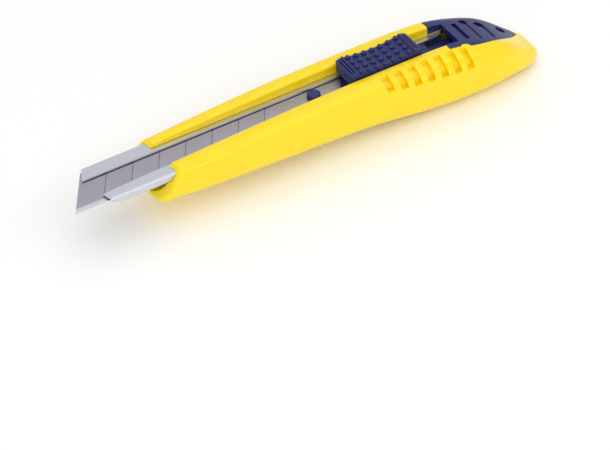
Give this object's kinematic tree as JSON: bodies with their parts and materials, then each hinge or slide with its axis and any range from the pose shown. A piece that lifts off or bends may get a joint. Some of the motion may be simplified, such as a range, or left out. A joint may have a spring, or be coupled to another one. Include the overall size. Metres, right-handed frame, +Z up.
{
  "type": "snap-off utility knife",
  "caption": "Utility knife with a scored snap-off blade in a steel channel, a notched thumb slider with a grip of round studs, a grooved plastic handle and a lift-off end cap.",
  "frame": {"origin": "centre of the bounding box in x and y, on the flat of the belly that the knife rests on", "axes": "+X along the knife from the blade's tip to the end cap, +Y across towards the blade's back edge, +Z up through the thumb slider"},
  "size_m": [0.1804, 0.0278, 0.0259],
  "materials": {
    "blade_steel": "ground carbon steel with a polished edge bevel",
    "channel_steel": "bright folded sheet steel",
    "spring_steel": "bright spring strip",
    "blue_plastic": "navy blue moulding, satin",
    "yellow_plastic": "glossy yellow moulding"
  },
  "bodies": {
    "grip": {"handle": "yellow_plastic", "blade_channel": "channel_steel"},
    "carriage": {"blade_carriage": "blue_plastic", "snap_off_blade": "blade_steel", "lock_spring": "spring_steel"},
    "slider": {"thumb_slider": "blue_plastic"},
    "cap": {"end_cap": "blue_plastic"}
  },
  "joints": [
    {"name": "blade_slide", "type": "slide", "parent": "grip", "child": "carriage", "axis": [-1, 0, 0], "range_m": [-0.0125, 0.0625]},
    {"name": "thumb_press", "type": "slide", "parent": "carriage", "child": "slider", "axis": [0, 0, -1], "range_m": [0, 0.0008], "stiffness_N_per_m": 3000, "springref_m": -0.0004, "deforming": ["lock_spring"]},
    {"name": "cap_lift", "type": "slide", "parent": "grip", "child": "cap", "axis": [0, 0, 1], "range_m": [0, 0.03]}
  ]
}
